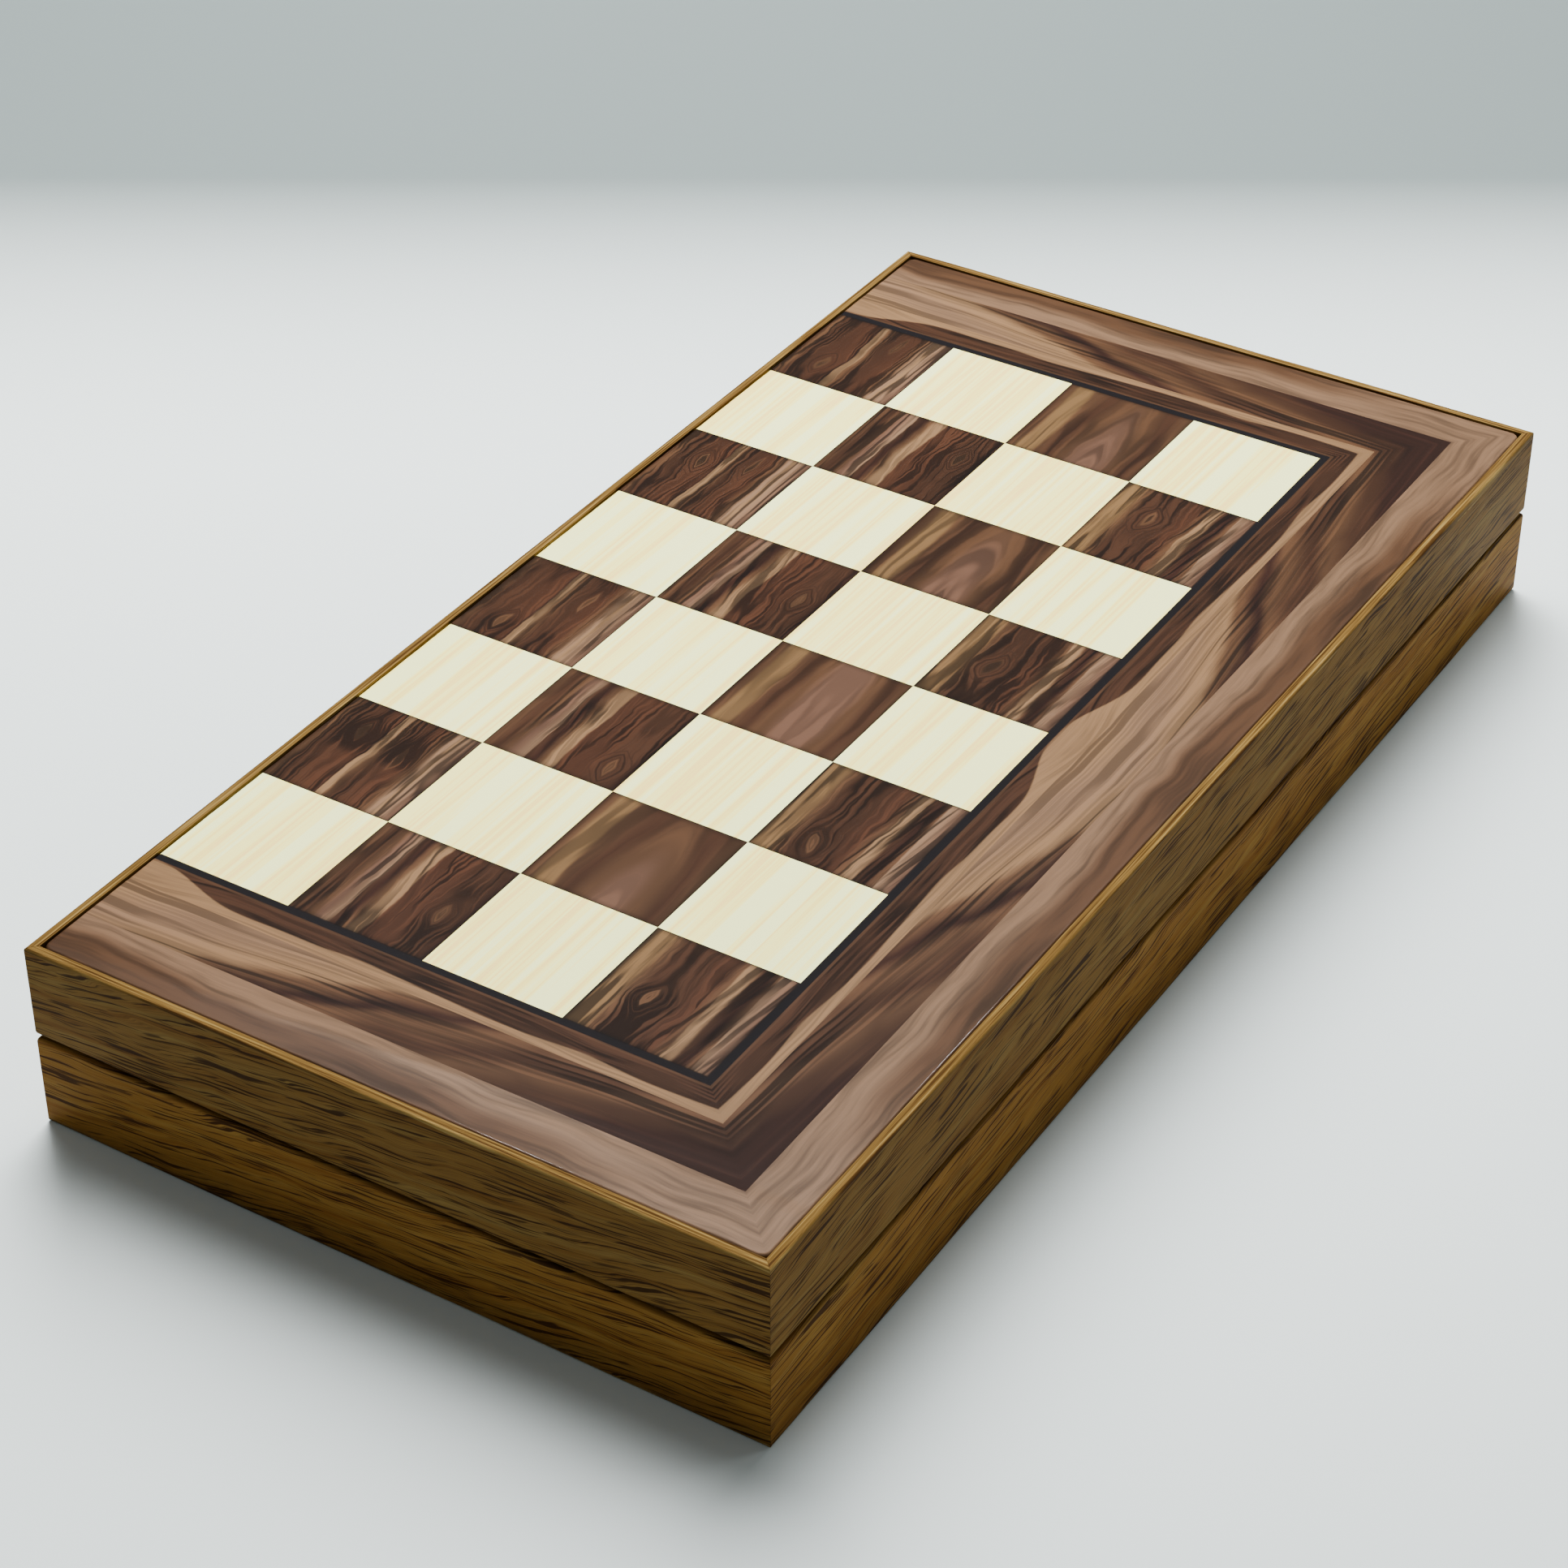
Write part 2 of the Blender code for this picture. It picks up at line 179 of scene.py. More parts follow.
class Num:
    """A number in a material's node tree, so that shader arithmetic can be written as arithmetic."""

    def __init__(self, tree, socket):
        self.tree = tree
        self.socket = socket

    def math(self, operation, *others):
        node = self.tree.nodes.new("ShaderNodeMath")
        node.operation = operation
        for socket, value in zip(node.inputs, (self, *others)):
            feed(self.tree, socket, value)
        return Num(self.tree, node.outputs[0])

    def __add__(self, other):
        return self.math("ADD", other)

    __radd__ = __add__

    def __sub__(self, other):
        return self.math("SUBTRACT", other)

    def __rsub__(self, other):
        return (self * -1) + other

    def __mul__(self, other):
        return self.math("MULTIPLY", other)

    __rmul__ = __mul__

    def __truediv__(self, other):
        return self.math("DIVIDE", other)

    def __abs__(self):
        return self.math("ABSOLUTE")

    def __neg__(self):
        return self * -1

    def fraction(self):
        return self.math("FRACT")

    def floor(self):
        return self.math("FLOOR")

    def below(self, limit):
        return self.math("LESS_THAN", limit)

    def above(self, limit):
        return self.math("GREATER_THAN", limit)

    def least(self, other):
        return self.math("MINIMUM", other)

    def most(self, other):
        return self.math("MAXIMUM", other)

    def power(self, exponent):
        return self.math("POWER", exponent)

    def root(self):
        return self.math("SQRT")

    def sine(self):
        return self.math("SINE")

    def step(self, low, high):
        """0 at low, 1 at high, smooth between."""
        node = self.tree.nodes.new("ShaderNodeMapRange")
        node.interpolation_type = "SMOOTHSTEP"
        feed(self.tree, node.inputs["Value"], self)
        feed(self.tree, node.inputs["From Min"], low)
        feed(self.tree, node.inputs["From Max"], high)
        return Num(self.tree, node.outputs["Result"])

    def scaled(self, low, high):
        """Maps 0..1 to low..high."""
        return self * (high - low) + low


def feed(tree, socket, value):
    """Puts a number, a colour or another node's output into a socket."""
    if isinstance(value, Num):
        tree.links.new(value.socket, socket)
    elif isinstance(value, bpy.types.NodeSocket):
        tree.links.new(value, socket)
    elif isinstance(value, tuple) and len(value) == 3 and socket.type == "RGBA":
        socket.default_value = (*value, 1)
    else:
        socket.default_value = value


def combine(tree, x, y=0.0, z=0.0):
    node = tree.nodes.new("ShaderNodeCombineXYZ")
    for socket, value in zip(node.inputs, (x, y, z)):
        feed(tree, socket, value)
    return node.outputs[0]


def noise(tree, x, y=0.0, z=0.0, detail=2.0, roughness=0.5, distortion=0.0):
    """Smooth noise, about 0.25 to 0.75, of a point given in noise cells."""
    node = tree.nodes.new("ShaderNodeTexNoise")
    node.inputs["Scale"].default_value = 1.0
    node.inputs["Detail"].default_value = detail
    node.inputs["Roughness"].default_value = roughness
    node.inputs["Distortion"].default_value = distortion
    tree.links.new(combine(tree, x, y, z), node.inputs["Vector"])
    return Num(tree, node.outputs[0])


def wave(tree, x, y=0.0, z=0.0, size=1.0, detail=1.0):
    """Noise centred on zero, swinging by about size either way."""
    return (noise(tree, x, y, z, detail=detail) - 0.5) * (2.5 * size)


def ramp(tree, value, stops, smooth=True):
    """Colour along value, from (place, colour) stops."""
    node = tree.nodes.new("ShaderNodeValToRGB")
    node.color_ramp.interpolation = "EASE" if smooth else "LINEAR"
    elements = node.color_ramp.elements
    elements[0].position, elements[0].color = stops[0][0], (*stops[0][1], 1)
    elements[1].position, elements[1].color = stops[-1][0], (*stops[-1][1], 1)
    for place, color in stops[1:-1]:
        element = elements.new(place)
        element.color = (*color, 1)
    feed(tree, node.inputs["Fac"], value)
    return node.outputs["Color"]


def mix(tree, factor, first, second, blend="MIX"):
    """First where factor is 0, second where it is 1."""
    node = tree.nodes.new("ShaderNodeMix")
    node.data_type = "RGBA"
    node.blend_type = blend
    colors = [socket for socket in node.inputs if socket.type == "RGBA"]
    feed(tree, node.inputs[0], factor)
    feed(tree, colors[0], first)
    feed(tree, colors[1], second)
    return next(socket for socket in node.outputs if socket.type == "RGBA")


def grey(tree, value):
    """A number as a grey colour."""
    return combine(tree, value, value, value)


def bump(tree, height, distance, strength=1.0):
    node = tree.nodes.new("ShaderNodeBump")
    node.inputs["Strength"].default_value = strength
    node.inputs["Distance"].default_value = distance
    feed(tree, node.inputs["Height"], height)
    return node.outputs["Normal"]


def lacquer(tree, shader, x, y, z):
    """Gives a lacquered panel its faint orange peel."""
    peel = noise(tree, x * 900, y * 900, z * 900, detail=2.0)
    feed(tree, shader.inputs["Normal"], bump(tree, peel, 0.02 * MM, strength=0.5))


def place_in(tree):
    """The object's own x, y and z, in metres."""
    coordinates = tree.nodes.new("ShaderNodeTexCoord")
    split = tree.nodes.new("ShaderNodeSeparateXYZ")
    tree.links.new(coordinates.outputs["Object"], split.inputs[0])
    return [Num(tree, socket) for socket in split.outputs]


def new_material(name, roughness=0.5, metallic=0.0, coat=0.0, coat_roughness=0.1):
    material = bpy.data.materials.new(name)
    material.use_nodes = True
    shader = material.node_tree.nodes["Principled BSDF"]
    shader.inputs["Roughness"].default_value = roughness
    shader.inputs["Metallic"].default_value = metallic
    shader.inputs["Coat Weight"].default_value = coat
    shader.inputs["Coat Roughness"].default_value = coat_roughness
    return material, material.node_tree, shader


# ---------------------------------------------------------------- printed chess board


def grain(tree, across, along, seed, lines=38.0, run=1.6):
    """Dark grain lines, 0 between lines and 1 on them. Across and along are in squares."""
    fine = noise(tree, across * lines, along * run, seed, detail=4.0, roughness=0.62)
    broad = noise(tree, across * (lines / 5), along * (run / 2), seed + 3.7, detail=2.0)
    soft = (fine * 0.65 + broad * 0.35).step(0.44, 0.58)
    wide = across * (lines * 0.36)
    contour = noise(tree, wide, along * (run * 0.4), seed + 8.1, detail=2.0, roughness=0.4)
    thin = 1 - abs(contour - 0.5).step(0.035, 0.095)
    weight = noise(tree, across * 4, along * 1.3, seed + 5.5).step(0.36, 0.54)
    return (soft * 0.55).most(thin * weight.scaled(0.45, 1.0))


def darkened(tree, color, amount, low=0.26, high=1.25):
    """Colour times a number that goes from high down to low as amount goes from 0 to 1."""
    return mix(tree, 1.0, color, grey(tree, amount.scaled(high, low)), blend="MULTIPLY")


class Eye:
    """A knot figure: grain lines part around a pointed ellipse and close in rings inside it."""

    def __init__(self, tree, across, along, centre, size, seed):
        lean = wave(tree, along * 4, across * 5, seed, size=0.55, detail=2.0)
        dx = (across - centre[0]) / size[0] + lean
        dy = (along - centre[1]) / size[1]
        self.radius = abs(dx) + dy * dy
        beyond = (self.radius * self.radius).most(1.0)
        outside = abs(dx) - abs(dx) / beyond
        inside = 1 - self.radius.least(1.0)
        self.lines = outside + inside * 1.3

    def core(self):
        return 1 - self.radius.step(0.30, 0.55)

    def outline(self):
        outer = 1 - abs(self.radius - 1.05).step(0.02, 0.20)
        inner = 1 - abs(self.radius - 0.62).step(0.0, 0.10)
        halo = 1 - abs(self.radius - 1.7).step(0.0, 0.16)
        return outer.most(inner * 0.8).most(halo * 0.7)


def light_squares(tree, across, along):
    """Pale foil with faint warm and cool streaks along the case."""
    streak = noise(tree, across * 5.5, along * 0.12, 4.0, detail=2.0, roughness=0.5)
    fine = noise(tree, across * 34, along * 0.25, 9.0, detail=2.0)
    tone = (streak * 0.82 + fine * 0.18).step(0.34, 0.66)
    stops = [
        (0.0, CREAM_COOL), (0.25, CREAM_COOL), (0.40, CREAM), (0.50, CREAM), (0.60, CREAM_WARM),
        (0.66, CREAM_PINK), (0.72, CREAM_WARM), (0.80, CREAM), (1.0, CREAM_COOL),
    ]
    return ramp(tree, tone, stops)


def dark_column_0(tree, a, l, row):
    """Eye figure, thin light stripe, brown, then pale strips."""
    edge = a + wave(tree, l * 1.5, row * 3.1, 1.0, size=0.012)
    stops = [
        (0.00, BROWN), (0.05, MID_BROWN), (0.10, BROWN), (0.40, RED_BROWN), (0.415, DARK_BROWN),
        (0.425, TAN), (0.465, TAN), (0.485, MID_BROWN), (0.55, BROWN), (0.72, RED_BROWN),
        (0.79, MID_BROWN), (0.84, PINK_TAN), (0.87, TAN), (0.90, PINK_TAN), (1.00, PINK_BROWN),
    ]
    tone = ramp(tree, edge, stops)
    first = Eye(tree, a, l, (0.28, (row * 1.7).sine() * 0.25 + 0.45), (0.075, 0.17), 2.0)
    second = Eye(tree, a, l, (0.65, (row * 2.9).sine() * 0.3 + 0.5), (0.06, 0.22), 5.0)
    in_first = a.below(0.42)
    in_second = (a.above(0.52)) * (a.below(0.78))
    lines = a * (1 - in_first - in_second) + (first.lines * in_first + second.lines * in_second) * 0.11
    tone = mix(tree, first.core() * in_first, tone, MID_BROWN)
    tone = mix(tree, second.core() * in_second * 0.8, tone, MID_BROWN)
    dark = grain(tree, lines, l + row * 7, 1.0)
    outline = first.outline() * in_first * 0.8 + second.outline() * in_second * 0.5
    return darkened(tree, tone, dark.most(outline))


def dark_column_1(tree, a, l, row):
    """Brown, a pale strip with a hard edge, flowing pale streaks, then an eye in red-brown."""
    hard = a.above(0.3)
    drift = wave(tree, l * 1.2, row * 5.3, 2.0, size=0.05) * hard * (1 - a.above(0.56))
    stops = [
        (0.00, MID_BROWN), (0.10, BROWN), (0.17, MID_BROWN), (0.21, PINK_BROWN), (0.295, PINK_TAN),
        (0.305, BROWN), (0.36, DARK_BROWN), (0.41, MID_BROWN), (0.455, TAN), (0.515, TAN),
        (0.53, RED_BROWN), (0.70, RED_BROWN), (0.80, BROWN), (0.93, BROWN), (1.00, DARK_BROWN),
    ]
    tone = ramp(tree, a + drift, stops)
    eye = Eye(tree, a, l, (0.84, (row * 2.3).sine() * 0.22 + 0.42), (0.075, 0.16), 7.0)
    inside = a.above(0.6)
    slant = (a + l * 0.12) * hard + a * (1 - hard)
    lines = slant * (1 - inside) + eye.lines * inside * 0.10
    tone = mix(tree, eye.core() * inside, tone, MID_BROWN)
    dark = grain(tree, lines, l + row * 5, 11.0)
    return darkened(tree, tone, dark.most(eye.outline() * inside * 0.8))


def dark_column_2(tree, a, l, row):
    """A tan strip, then a smooth figure mirrored about its middle."""
    middle = a - 0.61
    arch = (middle * middle + ((l + (row * 1.3).sine() * 0.5) * 0.16).power(2)).root()
    figure = arch + wave(tree, abs(middle) * 5, l * 1.5, row * 2.0, size=0.03)
    stops = [(0.0, PINK_BROWN), (0.10, PINK_BROWN), (0.20, MID_BROWN), (0.30, BROWN), (0.42, MID_BROWN)]
    smooth = ramp(tree, figure, stops)
    edge = a + wave(tree, l * 1.6, row * 4.1, 6.0, size=0.03)
    stops = [(0.0, BROWN), (0.05, MID_BROWN), (0.09, OLIVE_TAN), (0.19, OLIVE_TAN), (0.23, MID_BROWN)]
    left = ramp(tree, edge, stops)
    tone = mix(tree, edge.above(0.225), left, smooth)
    dark = grain(tree, figure * 0.8, l * 0.6 + row * 3, 21.0, lines=26.0)
    return darkened(tree, tone, dark, low=0.50, high=1.10)


def dark_column_3(tree, a, l, row):
    """A tan strip, an eye in red-brown, flowing pale streaks, dark lines, and a narrow pale strip."""
    drift = wave(tree, l * 1.2, row * 5.3, 3.0, size=0.045) * a.above(0.6) * a.below(0.87)
    stops = [
        (0.00, MID_BROWN), (0.03, OLIVE_TAN), (0.12, OLIVE_TAN), (0.19, MID_BROWN), (0.24, BROWN),
        (0.45, BROWN), (0.58, RED_BROWN), (0.655, MID_BROWN), (0.67, TAN), (0.725, TAN),
        (0.76, BROWN), (0.82, DARK_BROWN), (0.875, MID_BROWN), (0.885, PINK_TAN), (1.00, PINK_BROWN),
    ]
    tone = ramp(tree, a + drift, stops)
    eye = Eye(tree, a, l, (0.34, (row * 2.3).sine() * 0.22 + 0.42), (0.08, 0.17), 7.0)
    inside = a.above(0.17) * a.below(0.6)
    slant = a - l * 0.12 * a.above(0.6)
    lines = slant * (1 - inside) + eye.lines * inside * 0.10
    tone = mix(tree, eye.core() * inside, tone, MID_BROWN)
    dark = grain(tree, lines, l + row * 5, 31.0)
    return darkened(tree, tone, dark.most(eye.outline() * inside * 0.8))


def dark_squares(tree, across, along):
    """One figure for each of the four columns, with a slightly darker and then a thin dark edge."""
    a = across.fraction()
    l = along.fraction()
    row = along.floor()
    bend = wave(tree, l * 2.6, a * 3.0, row * 1.9, size=0.035, detail=3.0)
    bent = a + bend * (a * (1 - a) * 4)
    columns = (dark_column_0, dark_column_1, dark_column_2, dark_column_3)
    color = columns[0](tree, bent, l, row)
    for number, column in enumerate(columns[1:], 1):
        color = mix(tree, across.above(number), color, column(tree, bent, l, row))
    edge = a.least(1 - a).least(l).least(1 - l)
    color = darkened(tree, color, 1 - edge.step(0.0, 0.05), low=0.62, high=1.0)
    return darkened(tree, color, 1 - edge.step(0.004, 0.012), low=0.25, high=1.0)


def border_band_1(tree, depth, run):
    """Brown, with a wavy tan stripe along its outer edge."""
    swell = wave(tree, run * 1.1, 3.0, 0.0, size=0.045) + run.step(3.2, 4.0) * -0.16
    stripe = (depth - swell).step(0.205, 0.222)
    dark = grain(tree, depth + swell * 0.6, run * 0.8, 41.0, lines=52.0)
    color = darkened(tree, mix(tree, stripe, BROWN, TAN), dark * (1 - stripe * 0.6))
    return mix(tree, depth.below(0.075) * 0.5, color, MID_BROWN)


def border_band_2(tree, depth, run):
    """Dark brown at the corners, tan further along, with long slanting grain."""
    slant = run - (depth - BAND_1) * 3.4
    flow = slant + wave(tree, run * 1.5, depth * 4, 1.0, size=0.35, detail=2.0)
    stops = [
        (0.00, DARK_BROWN), (0.10, BROWN), (0.20, MID_BROWN), (0.28, BROWN), (0.40, MID_BROWN),
        (0.46, DARK_BROWN), (0.54, MID_BROWN), (0.60, TAN), (0.75, PINK_TAN), (1.00, TAN),
    ]
    tone = ramp(tree, (flow + 1) / 5, stops)
    curve = depth - (run * 0.075).least(0.28) + wave(tree, run * 0.9, 8.0, 0.0, size=0.03)
    dark = grain(tree, curve, run * 0.5, 51.0, lines=40.0, run=1.0)
    light = flow.step(1.9, 2.6)
    return darkened(tree, tone, dark * (1 - light * 0.25), low=0.28)


def border_band_3(tree, depth, run):
    """Pinkish tan with soft brown waves towards the outer edge."""
    swell = wave(tree, run * 0.9, 5.0, 2.0, size=0.10, detail=2.0)
    amount = (depth + swell + (run - 2) * 0.018).step(0.80, 0.94)
    tone = mix(tree, amount * run.step(-0.6, 0.9), PINK_TAN, MID_BROWN)
    soft = noise(tree, (depth + swell) * 16, run * 0.9, 61.0, detail=3.0).step(0.42, 0.68)
    fine = grain(tree, depth + swell * 0.5, run, 62.0, lines=70.0, run=3.0)
    dark = soft * 0.75 + fine * 0.25
    return darkened(tree, tone, dark, low=0.45, high=1.08)


def chess_print():
    """The whole printed board of one tray, the other tray's squares being the opposite colours."""
    material, tree, shader = new_material("chess_print", roughness=0.42, coat=0.30, coat_roughness=0.07)
    shader.inputs["Specular IOR Level"].default_value = 0.3
    x, y, z = place_in(tree)
    along = x / SQUARE + PRINT_CENTRE
    across = (HINGE_FACE - y) / SQUARE + PRINT_HINGE_EDGE
    on_base = z.below(MID_Z)

    squares = ((along.floor() + across.floor() + on_base) / 2).fraction().above(0.25)
    inside = mix(tree, squares, light_squares(tree, across, along), dark_squares(tree, across, along))

    depth = (-along).most(along - SQUARES_ALONG).most(across - SQUARES_ACROSS)
    from_corner_along = along.least(SQUARES_ALONG - along)
    on_end = (-from_corner_along).above(across - SQUARES_ACROSS)
    from_corner_across = SQUARES_ACROSS - across
    run = from_corner_along * (1 - on_end) + from_corner_across * on_end

    color = mix(tree, depth.above(0.0), inside, BLACK)
    color = mix(tree, depth.above(BLACK_LINE), color, border_band_1(tree, depth, run))
    color = mix(tree, depth.above(BAND_1), color, border_band_2(tree, depth, run))
    color = mix(tree, depth.above(BAND_2), color, border_band_3(tree, depth, run))
    feed(tree, shader.inputs["Base Color"], color)
    lacquer(tree, shader, x, y, z)
    return material


# ---------------------------------------------------------------- oak


def oak_color(tree, run, level, fibre, seed):
    """Brown to olive, streaked by the fibres."""
    tone = noise(tree, run * 0.012, level * 0.35, seed, detail=3.0)
    color = ramp(tree, tone, [(0.3, OAK_BROWN), (0.5, OAK), (0.7, OAK_OLIVE)])
    return darkened(tree, color, fibre.step(0.35, 0.65), low=0.78, high=1.20)


def oak_pores(tree, run, level, seed):
    """1 in the long and short open pores, which crowd together along the growth rings."""
    ring = (noise(tree, run * 0.004, level * 0.16, seed + 15, detail=0.0) - 0.5) * 0.16
    long_pores = noise(tree, run * 0.030, level * 1.25, seed + 9, detail=1.0, roughness=0.2)
    short_pores = noise(tree, run * 0.060, level * 2.0, seed + 12, detail=1.0, roughness=0.2)
    return (long_pores + ring).step(0.600, 0.640).most((short_pores + ring).step(0.61, 0.66) * 0.8)


def worn(tree, run, height, outer, tray, seed):
    """1 where the outer edges are sanded through, and in spots on the lid's long boards."""
    limit = wave(tree, run * 0.03, tray * 5, seed + 20, size=0.9) + 1.0
    mottle = noise(tree, run * 0.5, height * 0.9, seed + 30, detail=3.0)
    rubbed = run.step(RUBBED_START, RUBBED_START + RUBBED_FADE) * tray * mottle.scaled(0.5, 3.4)
    return 1 - (outer - limit - rubbed).step(-0.25, 0.25)


def oak_gold(tree, run, depth, seed):
    """Golden bare wood, striped along the grain."""
    stripe = noise(tree, run * 0.022, depth, seed + 25, detail=3.0)
    return ramp(tree, stripe, [(0.35, OAK_GOLD_DARK), (0.52, OAK_GOLD), (0.68, OAK_GOLD_LIGHT)])


def oak(name, grain_axis, seed, slant):
    """Open-grained oak veneer, its grain along x or y, with sanded-through golden outer edges.

    The figure is laid out in millimetres: run goes along the grain and level across it.
    """
    material, tree, shader = new_material(name, roughness=0.55)
    shader.inputs["Specular IOR Level"].default_value = 0.02
    x, y, z = place_in(tree)
    run, side = (x, y) if grain_axis == "x" else (y, x)
    run = run * 1000
    height = z * 1000 + side * 900
    tray = z.above(MID_Z)
    flow = wave(tree, run * 0.011, height * 0.05, tray * 7 + seed, size=5.0, detail=2.0)
    flow = flow + wave(tree, run * 0.06, height * 0.3, tray * 3 + seed, size=0.7)
    level = height + flow + run * slant

    fibre = noise(tree, run * 0.035, level * 4.5, seed + 5, detail=2.0, roughness=0.6)
    pore = oak_pores(tree, run, level, seed)
    color = mix(tree, pore * 0.9, oak_color(tree, run, level, fibre, seed), OAK_PORE)
    # Painted light: the base tray's copy of the oak is made lighter to make up for the shade low by the
    # floor; it is also a little warmer, as the wood's own hue.
    color = mix(tree, 1.0, color, mix(tree, tray, OAK_BASE_TINT_AND_PAINTED_LIGHT, (1.0, 1.0, 1.0)), blend="MULTIPLY")

    outer = (z * 1000).least((TOP - z) * 1000)
    gold = oak_gold(tree, run, side * 1400 + outer * 0.9, seed)
    color = mix(tree, worn(tree, run, height, outer, tray, seed), color, gold)

    # Painted shade: within about 2 mm of the seam between the trays the oak is darkened, where shade falls
    # in the groove between their rounded rims.
    seam = abs(z - MID_Z) * 1000
    color = darkened(tree, color, 1 - seam.step(0.5, 2.2), low=0.55, high=1.0)
    feed(tree, shader.inputs["Base Color"], color)

    relief = fibre * 0.25 - pore * 0.75
    feed(tree, shader.inputs["Normal"], bump(tree, relief, 0.12 * MM, strength=0.7))
    return material


# ---------------------------------------------------------------- backgammon field, checkers, dice, metal


def field_woods(tree, x, y, z):
    """The field's printed woods: ground, dark points and light points."""
    bend = wave(tree, x * 12, y * 30, z * 900, size=0.004, detail=2.0)
    tone = noise(tree, x * 5, (y + bend) * 55, z * 900, detail=4.0, roughness=0.6)
    stops = [(0.32, BROWN), (0.45, MID_BROWN), (0.56, PINK_BROWN), (0.70, PINK_TAN)]
    fine = noise(tree, x * 22, (y + bend) * 900, 3.0, detail=3.0).step(0.35, 0.7)
    share = tone.step(0.4, 0.6)
    ground = darkened(tree, ramp(tree, tone, stops), fine, low=0.7, high=1.05)
    dark = darkened(tree, mix(tree, share, DARK_BROWN, RED_BROWN), fine)
    light = darkened(tree, mix(tree, share, CREAM_WARM, CREAM), fine, low=0.86, high=1.0)
    return ground, dark, light


def field_print():
    """Inner panel: two rows of six points, a line round the field, and a diamond in the middle."""
    material, tree, shader = new_material("field_print", roughness=0.34, coat=0.45, coat_roughness=0.16)
    x, y, z = place_in(tree)
    half_x = (FIELD_BOX[1][0] - FIELD_BOX[0][0]) / 2
    half_y = (FIELD_BOX[1][1] - FIELD_BOX[0][1]) / 2
    place = (y - FIELD_BOX[0][1]) / (2 * half_y / POINTS_PER_END)
    aside = abs(place.fraction() - 0.5) * 2
    from_end = half_x - abs(x)
    inner = (1 - from_end / POINT_LENGTH) * POINT_BASE - aside
    dark_point = ((place.floor() + x.above(0.0) + z.below(MID_Z)) / 2).fraction().above(0.25)

    ground, dark, light = field_woods(tree, x, y, z)
    color = mix(tree, inner.above(-POINT_LINE), ground, BLACK)
    color = mix(tree, inner.above(0.0), color, CREAM_WARM)
    color = mix(tree, inner.above(POINT_LINE), color, mix(tree, dark_point, light, dark))

    rim = (half_x - abs(x)).least(half_y - abs(y - CASE_Y))
    color = mix(tree, abs(rim - BORDER_LINE).below(BORDER_HALF_WIDTH), color, BLACK)
    diamond = abs(x) / DIAMOND_HALF_LENGTH + abs(y - CASE_Y) / DIAMOND_HALF_WIDTH
    for limit, fill in ((1.0, BLACK), (0.93, CREAM), (0.80, dark), (0.30, CREAM)):
        color = mix(tree, diamond.below(limit), color, fill)
    feed(tree, shader.inputs["Base Color"], color)
    lacquer(tree, shader, x, y, z)
    return material


def turned_wood(name, pale, deep):
    """Lacquered wood whose grain runs along the case, a little different in each piece."""
    material, tree, shader = new_material(name, roughness=0.32, coat=0.5, coat_roughness=0.12)
    x, y, z = place_in(tree)
    streak = noise(tree, x * 20, y * 260, z * 260, detail=4.0, roughness=0.65)
    piece = noise(tree, x * 14, y * 14, 2.0, detail=0.0)
    color = ramp(tree, streak + (piece - 0.5) * 0.5, [(0.30, deep), (0.55, pale), (0.75, deep)])
    pores = noise(tree, x * 120, y * 1600, z * 1600, detail=2.0).step(0.56, 0.68)
    feed(tree, shader.inputs["Base Color"], darkened(tree, color, pores, low=0.72, high=1.0))
    feed(tree, shader.inputs["Normal"], bump(tree, pores * -1, 0.03 * MM, strength=0.4))
    return material


def metal(name, color, tarnish, roughness):
    """Rolled and polished metal with fine scratches along the case and a little tarnish."""
    material, tree, shader = new_material(name, roughness=roughness, metallic=1.0)
    x, y, z = place_in(tree)
    patch = noise(tree, x * 160, y * 160, z * 160, detail=4.0, roughness=0.6).step(0.45, 0.70)
    feed(tree, shader.inputs["Base Color"], mix(tree, patch * 0.6, color, tarnish))
    scratch = noise(tree, x * 90, y * 5200, z * 5200, detail=2.0)
    scratched = scratch.step(0.3, 0.7).scaled(roughness - 0.08, roughness + 0.12)
    feed(tree, shader.inputs["Roughness"], scratched)
    feed(tree, shader.inputs["Normal"], bump(tree, scratch, 0.01 * MM, strength=0.4))
    return material


def plastic(name, color, mark, roughness):
    """Moulded plastic with faint clouding and handling marks."""
    material, tree, shader = new_material(name, roughness=roughness, coat=0.3, coat_roughness=0.08)
    x, y, z = place_in(tree)
    cloud = noise(tree, x * 220, y * 220, z * 220, detail=3.0).step(0.3, 0.75)
    feed(tree, shader.inputs["Base Color"], mix(tree, cloud * 0.5, color, mark))
    handled = noise(tree, x * 1500, y * 1500, z * 1500, detail=2.0)
    feed(tree, shader.inputs["Normal"], bump(tree, handled, 0.01 * MM, strength=0.3))
    return material


# ---------------------------------------------------------------- meshes


def wobble(place, seed):
    """A fixed, uneven, smooth swing between about -1 and 1."""
    parts = ((1.0, 1.3, 0.0), (0.6, 2.9, 1.7), (0.4, 6.1, 4.1))
    return sum(size * math.sin(rate * place + shift + seed) for size, rate, shift in parts) / 1.6


def arc(centre, radius, start, end, steps):
    """Points on an arc in the plane, angles in degrees, both ends included."""
    turns = [math.radians(start + (end - start) * i / steps) for i in range(steps + 1)]
    return [(centre[0] + radius * math.cos(a), centre[1] + radius * math.sin(a)) for a in turns]


def loft(rings):
    """A closed bmesh through rings of points, each ring with the same count, with flat ends."""
    made = bmesh.new()
    loops = [[made.verts.new(point) for point in ring] for ring in rings]
    count = len(loops[0])
    for first, second in zip(loops, loops[1:]):
        for i in range(count):
            j = (i + 1) % count
            made.faces.new((first[i], first[j], second[j], second[i]))
    made.faces.new(loops[0])
    made.faces.new(loops[-1])
    return made


def turned(profile, sides):
    """A closed bmesh turned about Z from (radius, height) points that run up the outside."""
    turns = [2 * math.pi * i / sides for i in range(sides)]
    return loft([[(r * math.cos(a), r * math.sin(a), z) for a in turns] for r, z in profile])


